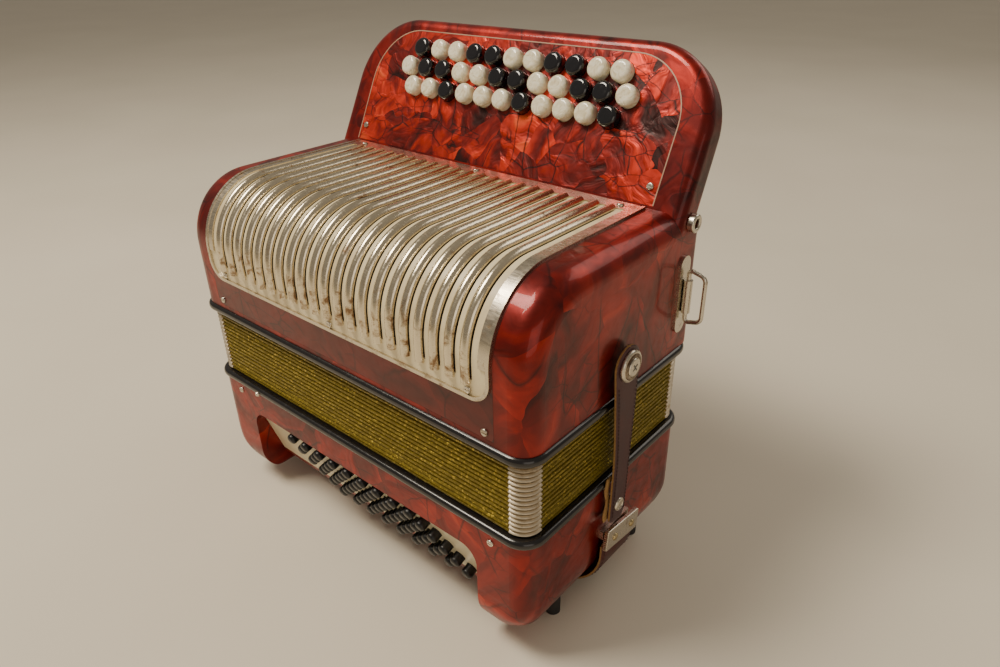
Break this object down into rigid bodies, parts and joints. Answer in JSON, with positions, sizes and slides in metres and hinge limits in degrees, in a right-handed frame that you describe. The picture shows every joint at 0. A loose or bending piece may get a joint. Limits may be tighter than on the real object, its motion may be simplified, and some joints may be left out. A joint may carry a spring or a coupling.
{
  "type": "accordion",
  "caption": "Chromatic button accordion with leaning button keyboard, barred grille, folded bellows, bass button plate and hand strap",
  "frame": {"origin": "middle of the box on the surface that the bass feet stand on", "axes": "+X along the treble button rows, -Y towards the grille's front, +Z from the bass side to the keyboard"},
  "size_m": [0.3768, 0.2303, 0.3689],
  "materials": {
    "red_celluloid": "gloss red pearl",
    "red_pearl_panel": "gloss red pearl",
    "cream_enamel": "worn cream paint",
    "cream_celluloid": "cream gloss",
    "nickel": "worn nickel plate",
    "black_gloss": "gloss black",
    "bellows_cloth": "gold glitter cloth",
    "leather": "worn dark brown leather",
    "reed_wood": "plain spruce",
    "rubber": "matt black",
    "pearl_button": "mother-of-pearl look",
    "black_button": "gloss black"
  },
  "bodies": {
    "bass": {"bass_casing": "red_celluloid", "bass_bellows_frame": "black_gloss", "bellows": "bellows_cloth", "bass_button_plate": "cream_celluloid", "bass_reed_blocks": "reed_wood", "bass_feet": "rubber", "bass_strap": "leather", "bass_strap_clamps": "nickel", "bass_fasteners": "nickel"},
    "treble": {"treble_casing": "red_celluloid", "button_panel": "red_pearl_panel", "grille_cover": "red_celluloid", "grille_plate": "cream_enamel", "grille_bars": "nickel", "grille_frame": "nickel", "treble_reed_blocks": "reed_wood", "treble_fasteners": "nickel", "strap_bracket_plates": "nickel", "treble_bellows_frame": "black_gloss"},
    "air_button": {"air_button": "pearl_button"},
    "bass_note_buttons": {"bass_note_buttons": "black_button"},
    "bass_chord_buttons": {"bass_chord_buttons": "black_button"},
    "d_ring_right": {"d_ring_right": "nickel"},
    "d_ring_left": {"d_ring_left": "nickel"},
    "bellows_strap_right": {"bellows_strap_right": "leather"},
    "bellows_strap_left": {"bellows_strap_left": "leather"},
    "treble_button_low_01": {"treble_button_low_01": "pearl_button"},
    "treble_button_low_02": {"treble_button_low_02": "pearl_button"},
    "treble_button_low_03": {"treble_button_low_03": "black_button"},
    "treble_button_low_04": {"treble_button_low_04": "pearl_button"},
    "treble_button_low_05": {"treble_button_low_05": "pearl_button"},
    "treble_button_low_06": {"treble_button_low_06": "pearl_button"},
    "treble_button_low_07": {"treble_button_low_07": "black_button"},
    "treble_button_low_08": {"treble_button_low_08": "pearl_button"},
    "treble_button_low_09": {"treble_button_low_09": "pearl_button"},
    "treble_button_low_10": {"treble_button_low_10": "pearl_button"},
    "treble_button_low_11": {"treble_button_low_11": "black_button"},
    "treble_button_middle_01": {"treble_button_middle_01": "pearl_button"},
    "treble_button_middle_02": {"treble_button_middle_02": "black_button"},
    "treble_button_middle_03": {"treble_button_middle_03": "black_button"},
    "treble_button_middle_04": {"treble_button_middle_04": "pearl_button"},
    "treble_button_middle_05": {"treble_button_middle_05": "pearl_button"},
    "treble_button_middle_06": {"treble_button_middle_06": "black_button"},
    "treble_button_middle_07": {"treble_button_middle_07": "black_button"},
    "treble_button_middle_08": {"treble_button_middle_08": "pearl_button"},
    "treble_button_middle_09": {"treble_button_middle_09": "pearl_button"},
    "treble_button_middle_10": {"treble_button_middle_10": "black_button"},
    "treble_button_middle_11": {"treble_button_middle_11": "black_button"},
    "treble_button_middle_12": {"treble_button_middle_12": "pearl_button"},
    "treble_button_top_01": {"treble_button_top_01": "black_button"},
    "treble_button_top_02": {"treble_button_top_02": "pearl_button"},
    "treble_button_top_03": {"treble_button_top_03": "pearl_button"},
    "treble_button_top_04": {"treble_button_top_04": "black_button"},
    "treble_button_top_05": {"treble_button_top_05": "black_button"},
    "treble_button_top_06": {"treble_button_top_06": "pearl_button"},
    "treble_button_top_07": {"treble_button_top_07": "pearl_button"},
    "treble_button_top_08": {"treble_button_top_08": "black_button"},
    "treble_button_top_09": {"treble_button_top_09": "black_button"},
    "treble_button_top_10": {"treble_button_top_10": "pearl_button"},
    "treble_button_top_11": {"treble_button_top_11": "pearl_button"}
  },
  "joints": [
    {"name": "bellows_slide", "type": "slide", "parent": "bass", "child": "treble", "axis": [0, 0, 1], "range_m": [0, 0.28], "deforming": ["bellows"]},
    {"name": "press_low_01", "type": "slide", "parent": "treble", "child": "treble_button_low_01", "axis": [0, 0.8902, -0.4555], "range_m": [0, 0.0035], "stiffness_N_per_m": 80, "springref_m": -0.003},
    {"name": "press_low_02", "type": "slide", "parent": "treble", "child": "treble_button_low_02", "axis": [0, 0.8902, -0.4555], "range_m": [0, 0.0035], "stiffness_N_per_m": 80, "springref_m": -0.003},
    {"name": "press_low_03", "type": "slide", "parent": "treble", "child": "treble_button_low_03", "axis": [0, 0.8902, -0.4555], "range_m": [0, 0.0035], "stiffness_N_per_m": 80, "springref_m": -0.003},
    {"name": "press_low_04", "type": "slide", "parent": "treble", "child": "treble_button_low_04", "axis": [0, 0.8902, -0.4555], "range_m": [0, 0.0035], "stiffness_N_per_m": 80, "springref_m": -0.003},
    {"name": "press_low_05", "type": "slide", "parent": "treble", "child": "treble_button_low_05", "axis": [0, 0.8902, -0.4555], "range_m": [0, 0.0035], "stiffness_N_per_m": 80, "springref_m": -0.003},
    {"name": "press_low_06", "type": "slide", "parent": "treble", "child": "treble_button_low_06", "axis": [0, 0.8902, -0.4555], "range_m": [0, 0.0035], "stiffness_N_per_m": 80, "springref_m": -0.003},
    {"name": "press_low_07", "type": "slide", "parent": "treble", "child": "treble_button_low_07", "axis": [0, 0.8902, -0.4555], "range_m": [0, 0.0035], "stiffness_N_per_m": 80, "springref_m": -0.003},
    {"name": "press_low_08", "type": "slide", "parent": "treble", "child": "treble_button_low_08", "axis": [0, 0.8902, -0.4555], "range_m": [0, 0.0035], "stiffness_N_per_m": 80, "springref_m": -0.003},
    {"name": "press_low_09", "type": "slide", "parent": "treble", "child": "treble_button_low_09", "axis": [0, 0.8902, -0.4555], "range_m": [0, 0.0035], "stiffness_N_per_m": 80, "springref_m": -0.003},
    {"name": "press_low_10", "type": "slide", "parent": "treble", "child": "treble_button_low_10", "axis": [0, 0.8902, -0.4555], "range_m": [0, 0.0035], "stiffness_N_per_m": 80, "springref_m": -0.003},
    {"name": "press_low_11", "type": "slide", "parent": "treble", "child": "treble_button_low_11", "axis": [0, 0.8902, -0.4555], "range_m": [0, 0.0035], "stiffness_N_per_m": 80, "springref_m": -0.003},
    {"name": "press_middle_01", "type": "slide", "parent": "treble", "child": "treble_button_middle_01", "axis": [0, 0.8902, -0.4555], "range_m": [0, 0.0035], "stiffness_N_per_m": 80, "springref_m": -0.003},
    {"name": "press_middle_02", "type": "slide", "parent": "treble", "child": "treble_button_middle_02", "axis": [0, 0.8902, -0.4555], "range_m": [0, 0.0035], "stiffness_N_per_m": 80, "springref_m": -0.003},
    {"name": "press_middle_03", "type": "slide", "parent": "treble", "child": "treble_button_middle_03", "axis": [0, 0.8902, -0.4555], "range_m": [0, 0.0035], "stiffness_N_per_m": 80, "springref_m": -0.003},
    {"name": "press_middle_04", "type": "slide", "parent": "treble", "child": "treble_button_middle_04", "axis": [0, 0.8902, -0.4555], "range_m": [0, 0.0035], "stiffness_N_per_m": 80, "springref_m": -0.003},
    {"name": "press_middle_05", "type": "slide", "parent": "treble", "child": "treble_button_middle_05", "axis": [0, 0.8902, -0.4555], "range_m": [0, 0.0035], "stiffness_N_per_m": 80, "springref_m": -0.003},
    {"name": "press_middle_06", "type": "slide", "parent": "treble", "child": "treble_button_middle_06", "axis": [0, 0.8902, -0.4555], "range_m": [0, 0.0035], "stiffness_N_per_m": 80, "springref_m": -0.003},
    {"name": "press_middle_07", "type": "slide", "parent": "treble", "child": "treble_button_middle_07", "axis": [0, 0.8902, -0.4555], "range_m": [0, 0.0035], "stiffness_N_per_m": 80, "springref_m": -0.003},
    {"name": "press_middle_08", "type": "slide", "parent": "treble", "child": "treble_button_middle_08", "axis": [0, 0.8902, -0.4555], "range_m": [0, 0.0035], "stiffness_N_per_m": 80, "springref_m": -0.003},
    {"name": "press_middle_09", "type": "slide", "parent": "treble", "child": "treble_button_middle_09", "axis": [0, 0.8902, -0.4555], "range_m": [0, 0.0035], "stiffness_N_per_m": 80, "springref_m": -0.003},
    {"name": "press_middle_10", "type": "slide", "parent": "treble", "child": "treble_button_middle_10", "axis": [0, 0.8902, -0.4555], "range_m": [0, 0.0035], "stiffness_N_per_m": 80, "springref_m": -0.003},
    {"name": "press_middle_11", "type": "slide", "parent": "treble", "child": "treble_button_middle_11", "axis": [0, 0.8902, -0.4555], "range_m": [0, 0.0035], "stiffness_N_per_m": 80, "springref_m": -0.003},
    {"name": "press_middle_12", "type": "slide", "parent": "treble", "child": "treble_button_middle_12", "axis": [0, 0.8902, -0.4555], "range_m": [0, 0.0035], "stiffness_N_per_m": 80, "springref_m": -0.003},
    {"name": "press_top_01", "type": "slide", "parent": "treble", "child": "treble_button_top_01", "axis": [0, 0.8902, -0.4555], "range_m": [0, 0.0035], "stiffness_N_per_m": 80, "springref_m": -0.003},
    {"name": "press_top_02", "type": "slide", "parent": "treble", "child": "treble_button_top_02", "axis": [0, 0.8902, -0.4555], "range_m": [0, 0.0035], "stiffness_N_per_m": 80, "springref_m": -0.003},
    {"name": "press_top_03", "type": "slide", "parent": "treble", "child": "treble_button_top_03", "axis": [0, 0.8902, -0.4555], "range_m": [0, 0.0035], "stiffness_N_per_m": 80, "springref_m": -0.003},
    {"name": "press_top_04", "type": "slide", "parent": "treble", "child": "treble_button_top_04", "axis": [0, 0.8902, -0.4555], "range_m": [0, 0.0035], "stiffness_N_per_m": 80, "springref_m": -0.003},
    {"name": "press_top_05", "type": "slide", "parent": "treble", "child": "treble_button_top_05", "axis": [0, 0.8902, -0.4555], "range_m": [0, 0.0035], "stiffness_N_per_m": 80, "springref_m": -0.003},
    {"name": "press_top_06", "type": "slide", "parent": "treble", "child": "treble_button_top_06", "axis": [0, 0.8902, -0.4555], "range_m": [0, 0.0035], "stiffness_N_per_m": 80, "springref_m": -0.003},
    {"name": "press_top_07", "type": "slide", "parent": "treble", "child": "treble_button_top_07", "axis": [0, 0.8902, -0.4555], "range_m": [0, 0.0035], "stiffness_N_per_m": 80, "springref_m": -0.003},
    {"name": "press_top_08", "type": "slide", "parent": "treble", "child": "treble_button_top_08", "axis": [0, 0.8902, -0.4555], "range_m": [0, 0.0035], "stiffness_N_per_m": 80, "springref_m": -0.003},
    {"name": "press_top_09", "type": "slide", "parent": "treble", "child": "treble_button_top_09", "axis": [0, 0.8902, -0.4555], "range_m": [0, 0.0035], "stiffness_N_per_m": 80, "springref_m": -0.003},
    {"name": "press_top_10", "type": "slide", "parent": "treble", "child": "treble_button_top_10", "axis": [0, 0.8902, -0.4555], "range_m": [0, 0.0035], "stiffness_N_per_m": 80, "springref_m": -0.003},
    {"name": "press_top_11", "type": "slide", "parent": "treble", "child": "treble_button_top_11", "axis": [0, 0.8902, -0.4555], "range_m": [0, 0.0035], "stiffness_N_per_m": 80, "springref_m": -0.003},
    {"name": "press_bass_note_buttons", "type": "slide", "parent": "bass", "child": "bass_note_buttons", "axis": [0, 0.9532, 0.3024], "range_m": [0, 0.004], "stiffness_N_per_m": 400, "springref_m": -0.003},
    {"name": "press_bass_chord_buttons", "type": "slide", "parent": "bass", "child": "bass_chord_buttons", "axis": [0, 0.9532, 0.3024], "range_m": [0, 0.004], "stiffness_N_per_m": 400, "springref_m": -0.003},
    {"name": "press_air_button", "type": "slide", "parent": "bass", "child": "air_button", "axis": [1, 0, 0], "range_m": [0, 0.005], "stiffness_N_per_m": 80, "springref_m": -0.003},
    {"name": "d_ring_right_swing", "type": "hinge", "parent": "treble", "child": "d_ring_right", "pos_m": [0.1749, 0.05354, 0.217], "axis": [0, 0, 1], "range_deg": [-85, 85]},
    {"name": "bellows_strap_right_swing", "type": "hinge", "parent": "treble", "child": "bellows_strap_right", "pos_m": [0.1756, -0.01996, 0.198], "axis": [1, 0, 0], "range_deg": [-95, 55]},
    {"name": "d_ring_left_swing", "type": "hinge", "parent": "treble", "child": "d_ring_left", "pos_m": [-0.1749, 0.05354, 0.217], "axis": [0, 0, 1], "range_deg": [-85, 85]},
    {"name": "bellows_strap_left_swing", "type": "hinge", "parent": "treble", "child": "bellows_strap_left", "pos_m": [-0.1756, -0.01996, 0.198], "axis": [1, 0, 0], "range_deg": [-95, 55]}
  ]
}
